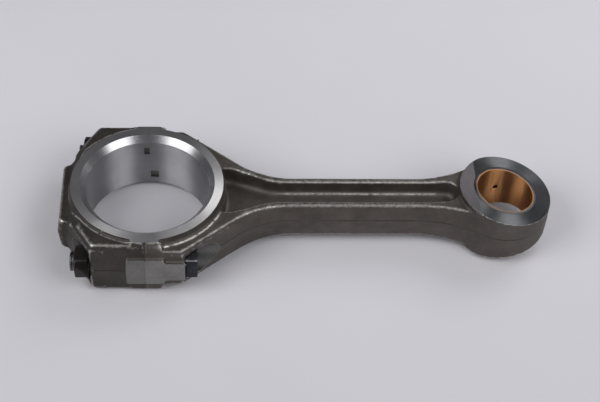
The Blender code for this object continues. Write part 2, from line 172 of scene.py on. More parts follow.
class Wire:
    # a node's socket that can be used in arithmetic
    def __init__(self, tree, socket=None):
        self.tree = tree
        self.socket = socket

    def node(self, kind, settings=None, inputs=None, output=0):
        made = self.tree.nodes.new(kind)
        for key, value in (settings or {}).items():
            setattr(made, key, value)
        for key, value in (inputs or {}).items():
            if isinstance(value, Wire):
                self.tree.links.new(value.socket, made.inputs[key])
            else:
                made.inputs[key].default_value = value
        return Wire(self.tree, made.outputs[output])

    def maths(self, operation, *values):
        return self.node("ShaderNodeMath", {"operation": operation}, dict(enumerate(values)))

    def __add__(self, other):
        return self.maths("ADD", self, other)

    def __radd__(self, other):
        return self.maths("ADD", other, self)

    def __sub__(self, other):
        return self.maths("SUBTRACT", self, other)

    def __rsub__(self, other):
        return self.maths("SUBTRACT", other, self)

    def __mul__(self, other):
        return self.maths("MULTIPLY", self, other)

    def __rmul__(self, other):
        return self.maths("MULTIPLY", other, self)

    def part(self, axis):
        return self.node("ShaderNodeSeparateXYZ", None, {0: self}, axis)

    def between(self, low, high):
        # 0 below low, 1 above high, straight in between
        settings = {"clamp": True}
        return self.node("ShaderNodeMapRange", settings, {"Value": self, "From Min": low, "From Max": high})

    def noise(self, scale, detail=3.0, roughness=0.55):
        inputs = {"Vector": self, "Scale": scale, "Detail": detail, "Roughness": roughness}
        return self.node("ShaderNodeTexNoise", None, inputs, "Fac")

    def lines(self, scale, detail=2.0):
        # this value as the place on a line of grooves
        settings = {"noise_dimensions": "1D"}
        return self.node("ShaderNodeTexNoise", settings, {"W": self * scale, "Scale": 1.0, "Detail": detail})

    def slopes(self, scale, low, high):
        # how steep the side of each fine groove is, spread evenly between two values
        return self.maths("FRACT", self * scale) * (high - low) + low

    def waves(self, scale, steepest):
        # ridges with nearly flat sides, as a pointed tool leaves
        ridge = self.maths("SINE", self * (scale * math.tau)) * 3.0
        return self.maths("MAXIMUM", self.maths("MINIMUM", ridge, 1.0), -1.0) * steepest

    def mixed(self, first, second):
        # colours mixed by this mask
        settings = {"data_type": "RGBA", "clamp_factor": True}
        return self.node("ShaderNodeMix", settings, {0: self, 6: first, 7: second}, 2)

    def bump(self, distance, strength=1.0):
        return self.node("ShaderNodeBump", None, {"Height": self, "Distance": distance, "Strength": strength})

    def leaning(self, direction, amount):
        # this normal tipped along a direction, as the sides of fine grooves tip it
        lean = self.node("ShaderNodeVectorMath", {"operation": "SCALE"}, {0: direction, "Scale": amount})
        tipped = self.node("ShaderNodeVectorMath", {"operation": "ADD"}, {0: self, 1: lean})
        return self.node("ShaderNodeVectorMath", {"operation": "NORMALIZE"}, {0: tipped})


def newLook(name, metallic=1.0, roughness=0.4):
    look = bpy.data.materials.new(name)
    look.use_nodes = True
    shader = look.node_tree.nodes["Principled BSDF"]
    shader.inputs["Metallic"].default_value = metallic
    shader.inputs["Roughness"].default_value = roughness
    start = Wire(look.node_tree)
    coords = start.node("ShaderNodeTexCoord", output=3)
    return look, shader, coords


def connect(look, shader, **links):
    names = {"colour": "Base Color", "roughness": "Roughness", "normal": "Normal"}
    for key, wire in links.items():
        look.node_tree.links.new(wire.socket, shader.inputs[names[key]])


def tinted(colour, depth=1.0):
    # a colour as a socket takes it, made darker or lighter by one factor
    return (*(value * depth for value in colour), 1)


def aroundAxis(coords, axisX):
    # each point's way out from an upright axis, and its length
    centred = coords.node("ShaderNodeMapping", None, {"Vector": coords, "Location": (-axisX, 0, 0)})
    flat = centred.node("ShaderNodeVectorMath", {"operation": "MULTIPLY"}, {0: centred, 1: (1, 1, 0)})
    radius = flat.node("ShaderNodeVectorMath", {"operation": "LENGTH"}, {0: flat}, "Value")
    return flat, radius


forging = {
    "skin": (0.185, 0.165, 0.148),
    "scale": (0.105, 0.092, 0.082),
    "speckle": (0.24, 0.23, 0.21),
    "worn": (0.55, 0.53, 0.50),
    "flashShade": 0.5,
    "metallic": 0.85,
    "broadScale": 32,
    "patchScale": 120,
    "raggedScale": 420,
    "grainScale": 900,
    "pitScale": 1100.0,
    "burrRadius": 0.0561,
    "burrAboveMiddle": (0.0160, 0.0168),
    "burrAside": (0.021, 0.028),
    "channelFoot": 0.0066,
    "footBelow": (0.0085, 0.0100),
    "footFromBigEnd": (0.088, 0.100),
    "footToSmallEnd": (0.0500, 0.0470),
    "roughness": 0.46,
    "grain": 0.00010,
}


def forgedLook(name, depth, partingUp):
    look, shader, coords = newLook(name, metallic=forging["metallic"])
    broad = coords.noise(forging["broadScale"], 4)
    patches = coords.noise(forging["patchScale"], 4, 0.6)
    grain = coords.noise(forging["grainScale"], 4, 0.65)
    pits = coords.node("ShaderNodeTexVoronoi", None, {"Vector": coords, "Scale": forging["pitScale"]})
    edge = coords.node("ShaderNodeNewGeometry", output="Pointiness")
    ragged = coords.noise(forging["raggedScale"], 3, 0.6)
    beside = coords.part(0) - bigX
    joint = beside.maths("ABSOLUTE", beside).between(0.0005, 0.0016)
    worn = (edge + (ragged - 0.5) * 0.05).between(0.512, 0.548) * joint
    level = coords.part(2) - (midZ + partingUp) + (broad - 0.5) * 0.0006
    flash = 1 - level.maths("ABSOLUTE", level).between(0.0002, 0.0007)
    # a ragged burr around the foot of each thrust ring
    flat, radius = aroundAxis(coords, bigX)
    away = radius - forging["burrRadius"] + (ragged - 0.5) * 0.0012
    burr = 1 - away.maths("ABSOLUTE", away).between(0.0002, 0.0007)
    high = level.maths("ABSOLUTE", coords.part(2) - midZ)
    aside = level.maths("ABSOLUTE", coords.part(1))
    burr = burr * (patches + ragged * 0.6).between(0.62, 0.80) * joint
    burr = burr * high.between(*forging["burrAboveMiddle"]) * aside.between(*forging["burrAside"])
    worn = worn.maths("MAXIMUM", worn, burr)
    # and a painted highlight, a ragged bright line along the fillet at the far foot of the channel
    filletHighlight = aside - forging["channelFoot"] + (ragged - 0.5) * 0.0010
    filletHighlight = 1 - filletHighlight.maths("ABSOLUTE", filletHighlight).between(0.0002, 0.0009)
    nearStart, nearFull = forging["footFromBigEnd"]
    farFull, farEnd = forging["footToSmallEnd"]
    low = 1 - high.between(*forging["footBelow"])
    inside = low * coords.part(0).between(bigX + nearStart, bigX + nearFull)
    inside = inside * (1 - coords.part(0).between(smallX - farFull, smallX - farEnd))
    # the painted fillet highlight joins the worn mask here, so it takes the worn colour
    worn = worn.maths("MAXIMUM", worn, filletHighlight * inside * (ragged + grain * 0.5).between(0.5, 0.95) * 0.7)
    tone = broad.between(0.35, 0.68) * 0.6 + patches.between(0.35, 0.7) * 0.4
    skin = tone.mixed(tinted(forging["scale"], depth), tinted(forging["skin"], depth))
    speckle = (grain.between(0.56, 0.74) * 0.35).mixed(skin, tinted(forging["speckle"], depth))
    flashMask = flash * broad.between(0.38, 0.55) * 0.8
    flashed = flashMask.mixed(speckle, tinted(forging["scale"], depth * forging["flashShade"]))
    # worn joint edges and the burr take the worn colour, and so does the painted fillet highlight
    colour = worn.mixed(flashed, tinted(forging["worn"]))
    rough = forging["roughness"] + patches * 0.16 - worn * 0.16
    height = grain * 0.6 + pits.between(0.0, 0.55) * 0.5 + patches * 1.6 - flash * 0.9
    connect(look, shader, colour=colour, roughness=rough, normal=height.bump(forging["grain"]))
    return look


turning = {
    "ring": ((0.33, 0.33, 0.335), (0.46, 0.455, 0.455)),
    "crescent": ((0.135, 0.128, 0.132), (0.185, 0.176, 0.182)),
    "taper": ((0.098, 0.102, 0.107), (0.172, 0.177, 0.184)),
    # the tint of the painted highlight on one side of the ring
    "highlightTint": (0.68, 0.67, 0.66),
    "groovesPerMetre": 7300.0,
    "groovesInCoarse": 14,
    "highlightSide": (0.97, -0.24, 0),
    "depth": 0.000020,
    "roughness": 0.26,
}


def turnedLook(name, axisX, tints, tilt, highlightShare=0.0):
    # concentric marks of a facing tool around one bore
    look, shader, coords = newLook(name)
    flat, radius = aroundAxis(coords, axisX)
    outward = flat.node("ShaderNodeVectorMath", {"operation": "NORMALIZE"}, {0: flat})
    coarse = radius.lines(turning["groovesPerMetre"] / turning["groovesInCoarse"])
    stain = coords.noise(45, 4)
    scuffs = coords.noise(700, 4, 0.7)
    tone = stain.between(0.3, 0.7) * 0.55 + coarse * 0.25 + scuffs * 0.2
    plain = tone.mixed(tinted(tints[0]), tinted(tints[1]))
    # painted highlight: one side of the face is painted brighter, standing in for a lamp's reflection on the
    # turned marks
    side = outward.node("ShaderNodeVectorMath", {"operation": "DOT_PRODUCT"},
                        {0: outward, 1: turning["highlightSide"]}, 1)
    highlightMask = (side + (stain - 0.5) * 0.3).between(0.35, 0.85) * highlightShare
    colour = highlightMask.mixed(plain, tinted(turning["highlightTint"]))
    rough = turning["roughness"] + stain * 0.10 + scuffs * 0.06
    relief = (coarse + scuffs * 0.5).bump(turning["depth"])
    connect(look, shader, colour=colour, roughness=rough, normal=relief.leaning(outward, tilt(radius)))
    return look


boring = {
    "bright": (0.44, 0.44, 0.45),
    "steel": (0.40, 0.395, 0.41),
    "shade": (0.26, 0.255, 0.27),
    "groovesPerMetre": 7300.0,
    "groovesInCoarse": 6,
    "depth": 0.000020,
    "lean": 1.4,
    "roughness": 0.24,
    "chamferLean": 0.10,
    "chamferRoughness": 0.18,
    "pin": ((0.30, 0.30, 0.31), (0.45, 0.45, 0.46)),
    "pinGroovesPerMetre": 3000.0,
    "pinLean": 0.4,
    "pinRoughness": 0.25,
}


def boredLook(name, tints, grooves, lean, roughness):
    # fine marks that run around the bore
    look, shader, coords = newLook(name)
    height = coords.part(2)
    wobble = coords.noise(60, 2) * 0.0004
    marks = (height + wobble).slopes(grooves, -lean, lean)
    coarse = (height + wobble).lines(grooves / boring["groovesInCoarse"])
    stain = coords.noise(38, 4)
    scuffs = coords.noise(520, 4, 0.7)
    tone = stain.between(0.3, 0.7) * 0.6 + coarse * 0.2 + scuffs * 0.2
    colour = tone.mixed(tinted(tints[0]), tinted(tints[1]))
    rough = roughness + stain * 0.08 + scuffs * 0.05
    relief = (coarse + scuffs * 0.5).bump(boring["depth"])
    connect(look, shader, colour=colour, roughness=rough, normal=relief.leaning((0, 0, 1), marks))
    return look


milling = {
    "steel": (0.30, 0.295, 0.285),
    "shade": (0.19, 0.185, 0.175),
    "linesPerMetre": 1500.0,
    "slant": 0.3,
    "depth": 0.000030,
    "roughness": 0.40,
}


def milledLook(name, depth):
    # straight cutter marks on bosses, seats and the joint
    look, shader, coords = newLook(name, metallic=0.95)
    marks = (coords.part(0) + coords.part(1) * milling["slant"]).lines(milling["linesPerMetre"])
    stain = coords.noise(60, 4)
    scuffs = coords.noise(480, 5, 0.7)
    tone = stain.between(0.35, 0.65) * 0.6 + scuffs.between(0.3, 0.7) * 0.4
    colour = tone.mixed(tinted(milling["shade"], depth), tinted(milling["steel"], depth))
    rough = milling["roughness"] + stain * 0.12
    relief = marks * 0.7 + scuffs * 0.8
    connect(look, shader, colour=colour, roughness=rough, normal=relief.bump(milling["depth"]))
    return look


blacking = {
    "fade": 2.1,
    "metallic": 0.9,
    "depth": 0.00003,
    "bolt": ((0.022, 0.023, 0.026), (0.30, 0.30, 0.31)),
    "boltRoughness": 0.36,
    "nut": ((0.014, 0.0125, 0.011), (0.060, 0.056, 0.052)),
    "nutRoughness": 0.46,
}


def blackedLook(name, tints, roughness):
    # black oxide with bare steel on the corners
    deep, bare = tints
    look, shader, coords = newLook(name, metallic=blacking["metallic"])
    stain = coords.noise(90, 4)
    grain = coords.noise(1100, 3, 0.6)
    edge = coords.node("ShaderNodeNewGeometry", output="Pointiness")
    worn = (edge + (grain - 0.5) * 0.06).between(0.56, 0.66)
    oxide = stain.between(0.3, 0.7).mixed(tinted(deep), tinted(deep, blacking["fade"]))
    colour = worn.mixed(oxide, tinted(bare))
    rough = roughness + stain * 0.15 - worn * 0.1
    height = grain + stain * 2
    connect(look, shader, colour=colour, roughness=rough, normal=height.bump(blacking["depth"]))
    return look


forgedSteel = forgedLook("forgedSteel", 0.85, 0.0016)
forgedCapSteel = forgedLook("forgedCapSteel", 0.50, 0.0)
turns = turning["groovesPerMetre"]
# the thrust ring's look has the painted highlight on one side turned on
turnedSteel = turnedLook("turnedSteel", bigX, turning["ring"], lambda r: r.slopes(turns, -0.05, 0.6), 1.0)
facedSteel = turnedLook("facedSteel", smallX, turning["crescent"], lambda r: r.slopes(turns, -0.2, 0.2))
taperedSteel = turnedLook("taperedSteel", smallX, turning["taper"], lambda r: r.waves(turns, 0.84))
boredSteel = boredLook("boredSteel", (boring["shade"], boring["steel"]), boring["groovesPerMetre"],
                       boring["lean"], boring["roughness"])
chamferSteel = boredLook("chamferSteel", (boring["shade"], boring["bright"]), boring["groovesPerMetre"],
                         boring["chamferLean"], boring["chamferRoughness"])
milledSteel = milledLook("milledSteel", 1.0)
milledCapSteel = milledLook("milledCapSteel", 0.80)
# a darker copy of the milled look, as painted shade inside the bolt-head and nut pockets and the shell
# notches
recessShadeSteel = milledLook("recessShadeSteel", 0.68)
print("steel looks made")

blank = {
    "voxel": 0.0010,
    "smoothing": 5,
    "stock": 0.003,
    "dents": 0.00022,
    "dentSize": 0.011,
}


def forge(piece):
    # the stock and fillings become one skin with softened edges and shallow dents
    applyModifier(piece, "REMESH", mode="VOXEL", voxel_size=blank["voxel"])
    applyModifier(piece, "SMOOTH", factor=0.5, iterations=blank["smoothing"])
    dents = bpy.data.textures.new("dents", "CLOUDS")
    dents.noise_scale = blank["dentSize"]
    applyModifier(piece, "DISPLACE", texture=dents, strength=blank["dents"], mid_level=0.62)


def stockForBothEnds(piece):
    # both thrust faces, and the faces of the bolt bosses
    stock = blank["stock"]
    for sign, level in ((1, topZ), (-1, 0.0)):
        centres, normals = facePlaces(piece)
        flat = (normals[:, 2] * sign > 0.99) & (abs(centres[:, 2] - level) < 0.0003)
        leaveStock(piece, flat, (0, 0, sign * stock))
    for sign in (1, -1):
        centres, normals = facePlaces(piece)
        face = (normals[:, 1] * sign > 0.99) & (centres[:, 1] * sign > bigEnd["bossY"] - 0.0002)
        leaveStock(piece, face, (0, sign * stock, 0))


bigEnd = {
    "bore": 0.0434,
    "chamfer": 0.0042,
    "bossY": 0.0619,
    "boltHole": 0.0072,
    "pinHole": 0.0028,
    "pinOffset": 0.0145,
    "jointGap": 0.00003,
    "notchWidth": 0.0066,
    "notchOffset": 0.0119,
    "notchInner": 0.040,
    "notchDepth": 0.0449,
    "fillOver": 0.0008,
    "smallFillOver": 0.0006,
    "boltFill": 0.034,
    "pinFill": 0.0080,
    "boltReach": 0.07,
    "pinReach": 0.0068,
}


def fillBigEnd(piece, sign):
    # the holes are forged solid; sign is +1 for the rod and -1 for the cap
    stock = blank["stock"]
    joint = bigX - sign * stock
    combine(piece, "UNION", addRound("bore", bigEnd["bore"] + bigEnd["chamfer"] + bigEnd["fillOver"],
                                     (bigX, 0, -stock), (bigX, 0, topZ + stock)))
    for side in (-1, 1):
        y = side * boltY
        combine(piece, "UNION", addRound("bolt", bigEnd["boltHole"] + bigEnd["fillOver"], (joint, y, midZ),
                                         (bigX + sign * bigEnd["boltFill"], y, midZ)))
        z = midZ - side * bigEnd["pinOffset"]
        combine(piece, "UNION", addRound("pin", bigEnd["pinHole"] + bigEnd["smallFillOver"], (joint, y, z),
                                         (bigX + sign * bigEnd["pinFill"], y, z)))


def addWedge(name, corners, halfHeight):
    # a block over four corners, for the forging that the pockets are cut from
    block = addBox(name, (0, 0, midZ - halfHeight), (1, 1, midZ + halfHeight))
    for vertex in block.data.vertices:
        number = {(0, 0): 0, (0, 1): 1, (1, 1): 2, (1, 0): 3}[(round(vertex.co.x), round(vertex.co.y))]
        vertex.co.x, vertex.co.y = corners[number]
    makeActive(block)
    bpy.ops.object.mode_set(mode="EDIT")
    bpy.ops.mesh.select_all(action="SELECT")
    bpy.ops.mesh.normals_make_consistent(inside=False)
    bpy.ops.object.mode_set(mode="OBJECT")
    return block


def machineBigEnd(piece, sign):
    far = 0.2
    over = 0.02
    combine(piece, "DIFFERENCE",
            addBox("top", (-far, -far, topZ), (far, far, topZ + over)),
            addBox("bottom", (-far, -far, -over), (far, far, 0)),
            addBox("front", (-far, -far, -over), (far, -bigEnd["bossY"], topZ + over)),
            addBox("back", (-far, bigEnd["bossY"], -over), (far, far, topZ + over)))
    joint = bigX + sign * bigEnd["jointGap"]
    if sign > 0:
        combine(piece, "DIFFERENCE", addBox("joint", (-far * 2, -far, -over), (joint, far, topZ + over)))
    else:
        combine(piece, "DIFFERENCE", addBox("joint", (joint, -far, -over), (far, far, topZ + over)))
    radius = bigEnd["bore"]
    chamfer = bigEnd["chamfer"]
    out = 0.002
    wide = radius + chamfer + out
    combine(piece, "DIFFERENCE",
            addRound("bore", radius, (bigX, 0, -over), (bigX, 0, topZ + over), segments=192),
            addRound("upper", radius - out, (bigX, 0, topZ - chamfer - out), (bigX, 0, topZ + out),
                     wide, 192),
            addRound("lower", wide, (bigX, 0, -out), (bigX, 0, chamfer + out), radius - out, 192))
    for side in (-1, 1):
        y = side * boltY
        reach = bigEnd["boltReach"]
        combine(piece, "DIFFERENCE", addRound("bolt", bigEnd["boltHole"], (bigX - reach, y, midZ),
                                              (bigX + reach, y, midZ), segments=64))
        z = midZ - side * bigEnd["pinOffset"]
        combine(piece, "DIFFERENCE", addRound("pin", bigEnd["pinHole"], (bigX - bigEnd["pinReach"], y, z),
                                              (bigX + bigEnd["pinReach"], y, z), segments=32))


def isBored(centres, normals):
    away = np.hypot(centres[:, 0] - bigX, centres[:, 1])
    bored = (away < bigEnd["bore"] + bigEnd["chamfer"] + 0.0001) & (abs(normals[:, 2]) < 0.9)
    inHeight = (centres[:, 2] > 0.00005) & (centres[:, 2] < topZ - 0.00005)
    return bored & inHeight


def isChamfer(centres, normals):
    return isBored(centres, normals) & (abs(normals[:, 2]) > 0.5)


def isNotch(centres, normals):
    # the slots for the tangs of the bearing shells
    away = np.hypot(centres[:, 0] - bigX, centres[:, 1])
    inSlot = (away > bigEnd["bore"] + 0.0002) & (away < bigEnd["notchDepth"] + 0.0015)
    return inSlot & (abs(centres[:, 0] - bigX) < 0.0070) & (abs(centres[:, 2] - midZ) < 0.0180)


def isThrustFace(centres, normals):
    atTop = (normals[:, 2] > 0.999) & (centres[:, 2] > topZ - 0.00005)
    atBottom = (normals[:, 2] < -0.999) & (centres[:, 2] < 0.00005)
    return atTop | atBottom


def isMilled(centres, normals):
    boss = (abs(normals[:, 1]) > 0.999) & (abs(centres[:, 1]) > bigEnd["bossY"] - 0.00005)
    joint = (abs(normals[:, 0]) > 0.999) & (abs(centres[:, 0] - bigX) < 0.0002)
    return boss | joint


rod = {
    "headSeat": 0.0274,
    "headPocket": 0.0126,
    "shoulder": 0.0256,
    "flareAngle": 39,
    "halfSpan": 0.0603,
    "faceHalf": 0.0214,
    "taper": 9.8,
    "taperStart": 0.0210,
    "eyeBore": 0.02295,
    "eyeRadius": 0.0336,
    "oilHole": 0.0018,
    "oilAngle": 96,
    "oilFill": (0.022, 0.0332),
    "notchLength": 0.0062,
    "eyeReach": 0.036,
    "faceReach": 0.050,
    "pocketLength": 0.045,
    "pocketPaint": 0.075,
    "blockStart": 0.018,
    "blockInner": 0.034,
    "blockInset": 0.0012,
    "blockRun": 0.026,
    "blockHalfHeight": 0.0150,
}


def makeRod():
    piece = copyOfNode("connecting_rod_body", "forgedRod")
    stock = blank["stock"]
    stockForBothEnds(piece)
    centres, normals = facePlaces(piece)
    joint = (normals[:, 0] < -0.99) & (abs(centres[:, 0] - bigX) < 0.0002)
    leaveStock(piece, joint, (-stock, 0, 0))
    for sign in (1, -1):
        centres, normals = facePlaces(piece)
        pastStart = np.maximum(0, centres[:, 0] - smallX + rod["taperStart"])
        slopeDrop = pastStart * math.tan(math.radians(rod["taper"]))
        onFace = (centres[:, 2] - midZ) * sign > rod["faceHalf"] - slopeDrop - 0.0004
        overEye = centres[:, 0] > smallX - rod["eyeReach"]
        leaveStock(piece, overEye & onFace & (normals[:, 2] * sign > 0.97), (0, 0, sign * stock))
    fillBigEnd(piece, 1)
    height = rod["faceHalf"] + stock
    combine(piece, "UNION", addRound("eye", rod["eyeBore"] + bigEnd["fillOver"], (smallX, 0, midZ - height),
                                     (smallX, 0, midZ + height)))
    angle = math.radians(rod["oilAngle"])
    out = Vector((math.cos(angle), math.sin(angle), 0))
    eye = Vector((smallX, 0, midZ))
    oilStart, oilEnd = rod["oilFill"]
    combine(piece, "UNION", addRound("oil", rod["oilHole"] + bigEnd["smallFillOver"], eye + out * oilStart,
                                     eye + out * oilEnd))
    slope = math.tan(math.radians(rod["flareAngle"]))
    run = rod["blockRun"]
    near = rod["halfSpan"] - rod["blockInset"]
    start = bigX + rod["blockStart"]
    shoulder = bigX + rod["shoulder"]
    for side in (-1, 1):
        corners = [(start, side * rod["blockInner"]), (start, side * near), (shoulder, side * near),
                   (shoulder + run / slope, side * (near - run))]
        combine(piece, "UNION", addWedge("pocket", corners, rod["blockHalfHeight"]))
    forge(piece)
    print("rod forged", len(piece.data.polygons))
    machineBigEnd(piece, 1)
    for side in (-1, 1):
        y = side * boltY
        seat = bigX + rod["headSeat"]
        combine(piece, "DIFFERENCE", addRound("pocket", rod["headPocket"], (seat, y, midZ),
                                              (seat + rod["pocketLength"], y, midZ), segments=96))
    far = 0.1
    over = 0.02
    for sign in (1, -1):
        level = midZ + sign * rod["faceHalf"]
        low, high = sorted((level, level + sign * 0.01))
        combine(piece, "DIFFERENCE", addBox("face", (smallX - rod["faceReach"], -far, low),
                                            (smallX + far, far, high)))
        low, high = sorted((0, sign * over))
        tool = addBox("taper", (-over, -far, low), (far, far, high))
        tool.rotation_euler = (0, sign * math.radians(rod["taper"]), 0)
        tool.location = (smallX - rod["taperStart"], 0, level)
        makeActive(tool)
        bpy.ops.object.transform_apply(location=True, rotation=True, scale=True)
        combine(piece, "DIFFERENCE", tool)
    combine(piece, "DIFFERENCE", addRound("eye", rod["eyeBore"], (smallX, 0, -0.01), (smallX, 0, 0.06),
                                          segments=160))
    combine(piece, "DIFFERENCE", addRound("oil", rod["oilHole"], eye, eye + out * 0.04, segments=32))
    z = midZ - bigEnd["notchOffset"]
    half = bigEnd["notchWidth"] / 2
    combine(piece, "DIFFERENCE", addBox("notch", (bigX - 0.001, bigEnd["notchInner"], z - half),
                                        (bigX + rod["notchLength"], bigEnd["notchDepth"], z + half)))
    smoothShade(piece)

    def isFace(centres, normals):
        onEye = centres[:, 0] > smallX - rod["eyeReach"]
        return onEye & (abs(normals[:, 2]) > 0.98) & (abs(centres[:, 2] - midZ) > 0.0110) & (
            np.hypot(centres[:, 0] - smallX, centres[:, 1]) < rod["eyeRadius"] + 0.001)

    def isPocket(centres, normals):
        away = np.hypot(abs(centres[:, 1]) - boltY, centres[:, 2] - midZ)
        return (away < rod["headPocket"] + 0.0001) & (centres[:, 0] > bigX + rod["headSeat"] - 0.0001) & (
            centres[:, 0] < bigX + rod["pocketPaint"])

    def isCrescent(centres, normals):
        return isFace(centres, normals) & (abs(normals[:, 2]) > 0.9995)

    paint(piece, [(3, isMilled), (5, isPocket), (6, isFace), (4, isCrescent), (2, isBored), (7, isChamfer),
                  (5, isNotch), (1, isThrustFace)],
          [forgedSteel, turnedSteel, boredSteel, milledSteel, facedSteel, recessShadeSteel, taperedSteel,
           chamferSteel])
    return piece


cap = {
    "nutSeat": 0.0385,
    "nutPocket": 0.0160,
    "pocketLength": 0.045,
    "notchLength": 0.0040,
    "blockNear": (0.028, 0.032),
    "blockEdge": 0.0590,
    "blockCorner": 0.0375,
    "blockFar": (0.0530, 0.0330),
    "blockHalfHeight": 0.0190,
}


def makeCap():
    piece = copyOfNode("big_end_cap", "forgedCap")
    stock = blank["stock"]
    stockForBothEnds(piece)
    centres, normals = facePlaces(piece)
    joint = (normals[:, 0] > 0.99) & (abs(centres[:, 0] - bigX) < 0.0002)
    leaveStock(piece, joint, (stock, 0, 0))
    fillBigEnd(piece, -1)
    nearX, nearY = cap["blockNear"]
    farX, farY = cap["blockFar"]
    edgeY = cap["blockEdge"]
    for side in (-1, 1):
        corners = [(bigX - nearX, side * nearY), (bigX - nearX, side * edgeY),
                   (bigX - cap["blockCorner"], side * edgeY), (bigX - farX, side * farY)]
        combine(piece, "UNION", addWedge("pocket", corners, cap["blockHalfHeight"]))
    forge(piece)
    print("cap forged", len(piece.data.polygons))
    machineBigEnd(piece, -1)
    for side in (-1, 1):
        y = side * boltY
        seat = bigX - cap["nutSeat"]
        combine(piece, "DIFFERENCE", addRound("pocket", cap["nutPocket"],
                                              (seat - cap["pocketLength"], y, midZ), (seat, y, midZ),
                                              segments=96))
    z = midZ + bigEnd["notchOffset"]
    half = bigEnd["notchWidth"] / 2
    combine(piece, "DIFFERENCE", addBox("notch", (bigX - cap["notchLength"], bigEnd["notchInner"],
                                                 z - half),
                                        (bigX + 0.001, bigEnd["notchDepth"], z + half)))
    smoothShade(piece)

    def isPocket(centres, normals):
        away = np.hypot(abs(centres[:, 1]) - boltY, centres[:, 2] - midZ)
        return (away < cap["nutPocket"] + 0.0001) & (centres[:, 0] < bigX - cap["nutSeat"] + 0.0001) & (
            (abs(normals[:, 0]) > 0.99) | (abs(away - cap["nutPocket"]) < 0.0002))

    paint(piece, [(3, isMilled), (4, isPocket), (2, isBored), (5, isChamfer), (4, isNotch),
                  (1, isThrustFace)],
          [forgedCapSteel, turnedSteel, boredSteel, milledCapSteel, recessShadeSteel, chamferSteel])
    return piece


rodPiece = makeRod()
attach(rodPiece, "root")
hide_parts("connecting_rod_body")
print("rod done")

capPiece = makeCap()
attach(capPiece, "root")
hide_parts("big_end_cap")
print("cap done")

bush = {
    "lining": 0.0209,
    "bronze": ((0.29, 0.130, 0.048), (0.48, 0.245, 0.105)),
    "shell": (0.085, 0.085, 0.09),
    "linesPerMetre": 2800.0,
    "groovesPerMetre": 7300.0,
    "lean": 1.3,
    "depth": 0.000020,
    "roughness": 0.24,
    "edge": 0.00022,
}


def bushLook(name):
    # a bronze lining in a steel shell, told apart at the ends by the distance from the axis
    look, shader, coords = newLook(name, roughness=0.28)
    flat, radius = aroundAxis(coords, smallX)
    shell = radius.between(bush["lining"], bush["lining"] + 0.0001)
    marks = (coords.part(2) + radius * 0.5).lines(bush["linesPerMetre"])
    stain = coords.noise(55, 4)
    streak = coords.noise(700, 3, 0.7)
    tone = stain.between(0.3, 0.7) * 0.6 + marks * 0.25 + streak * 0.15
    bronzed = tone.mixed(tinted(bush["bronze"][0]), tinted(bush["bronze"][1]))
    colour = shell.mixed(bronzed, tinted(bush["shell"]))
    rough = bush["roughness"] + stain * 0.10
    relief = (stain + streak * 0.3).bump(bush["depth"])
    slope = (coords.part(2) + radius * 0.5).slopes(bush["groovesPerMetre"], -bush["lean"], bush["lean"])
    connect(look, shader, colour=colour, roughness=rough, normal=relief.leaning((0, 0, 1), slope))
    return look


bronze = bushLook("bronzeLining")
blackBolt = blackedLook("blackedBolt", blacking["bolt"], blacking["boltRoughness"])
darkNut = blackedLook("oxidedNut", blacking["nut"], blacking["nutRoughness"])
groundPin = boredLook("groundPin", boring["pin"], boring["pinGroovesPerMetre"], boring["pinLean"],
                      boring["pinRoughness"])


def softenEdges(piece, width, angle=28):
    applyModifier(piece, "BEVEL", width=width, segments=3, limit_method="ANGLE",
                  angle_limit=math.radians(angle))
    smoothShade(piece)


def twinAcross(piece, name, turn):
    # the same piece for the other side, with its own mesh
    deselectAll()
    twin = piece.copy()
    twin.data = piece.data.copy()
    twin.name = name
    twin.data.name = name
    bpy.context.scene.collection.objects.link(twin)
    centre = Vector((0, -boltY, midZ))
    spin = Matrix.Translation(centre) @ Matrix.Rotation(turn, 4, "X") @ Matrix.Translation(-centre)
    twin.data.transform(Matrix.Translation((0, 2 * boltY, 0)) @ spin)
    return twin


bolt = {
    "radius": 0.0069,
    "tip": -0.0518,
    "underHead": 0.0277,
    "headTop": 0.0358,
    "headRadius": 0.0112,
    "acrossFlats": 0.0152,
    "headEdge": 0.0006,
    "shankEdge": 0.0008,
    "pitch": 0.0015,
    "threads": 9,
    "threadStart": 0.0016,
    "threadDepth": 0.00052,
    "threadOut": 0.0001,
    "dishRadii": (0.0040, 0.0050),
    "dishDepth": 0.0006,
}


def makeBolt(name):
    def at(x):
        return (bigX + x, -boltY, midZ)

    piece = addRound(name, bolt["headRadius"], at(bolt["underHead"]), at(bolt["headTop"]), segments=96)
    for sign in (-1, 1):
        near = -boltY + sign * bolt["acrossFlats"] / 2
        low, high = sorted((near, near + sign * 0.02))
        combine(piece, "DIFFERENCE", addBox("flat", (bigX + bolt["underHead"] - 0.001, low, 0),
                                            (bigX + bolt["headTop"] + 0.001, high, topZ)))
    softenEdges(piece, bolt["headEdge"])
    shank = addRound("shank", bolt["radius"], at(bolt["tip"]), at(bolt["underHead"] + 0.002), segments=96)
    softenEdges(shank, bolt["shankEdge"])
    for turn in range(bolt["threads"]):
        deselectAll()
        x = bolt["tip"] + bolt["threadStart"] + turn * bolt["pitch"]
        bpy.ops.mesh.primitive_torus_add(location=at(x), rotation=(0, math.radians(90), 0), major_segments=96,
                                         minor_segments=10, major_radius=bolt["radius"] + bolt["threadOut"],
                                         minor_radius=bolt["threadDepth"])
        combine(shank, "DIFFERENCE", added("groove"))
    combine(piece, "UNION", shank)
    # a shallow dish in the top of the head
    floorRadius, rimRadius = bolt["dishRadii"]
    combine(piece, "DIFFERENCE", addRound("dish", floorRadius, at(bolt["headTop"] - bolt["dishDepth"]),
                                          at(bolt["headTop"] + 0.001), rimRadius, 64))
    smoothShade(piece, 30)
    return piece


nut = {
    "acrossFlats": 0.0220,
    "start": -0.0484,
    "end": -0.0388,
    "crown": 0.0011,
    "hole": 0.0071,
    "sink": 0.0016,
    "cornerOver": 0.0002,
    "crownIn": 0.0004,
    "edge": 0.00025,
    "turn": 11,
    "twinTurn": -22,
}


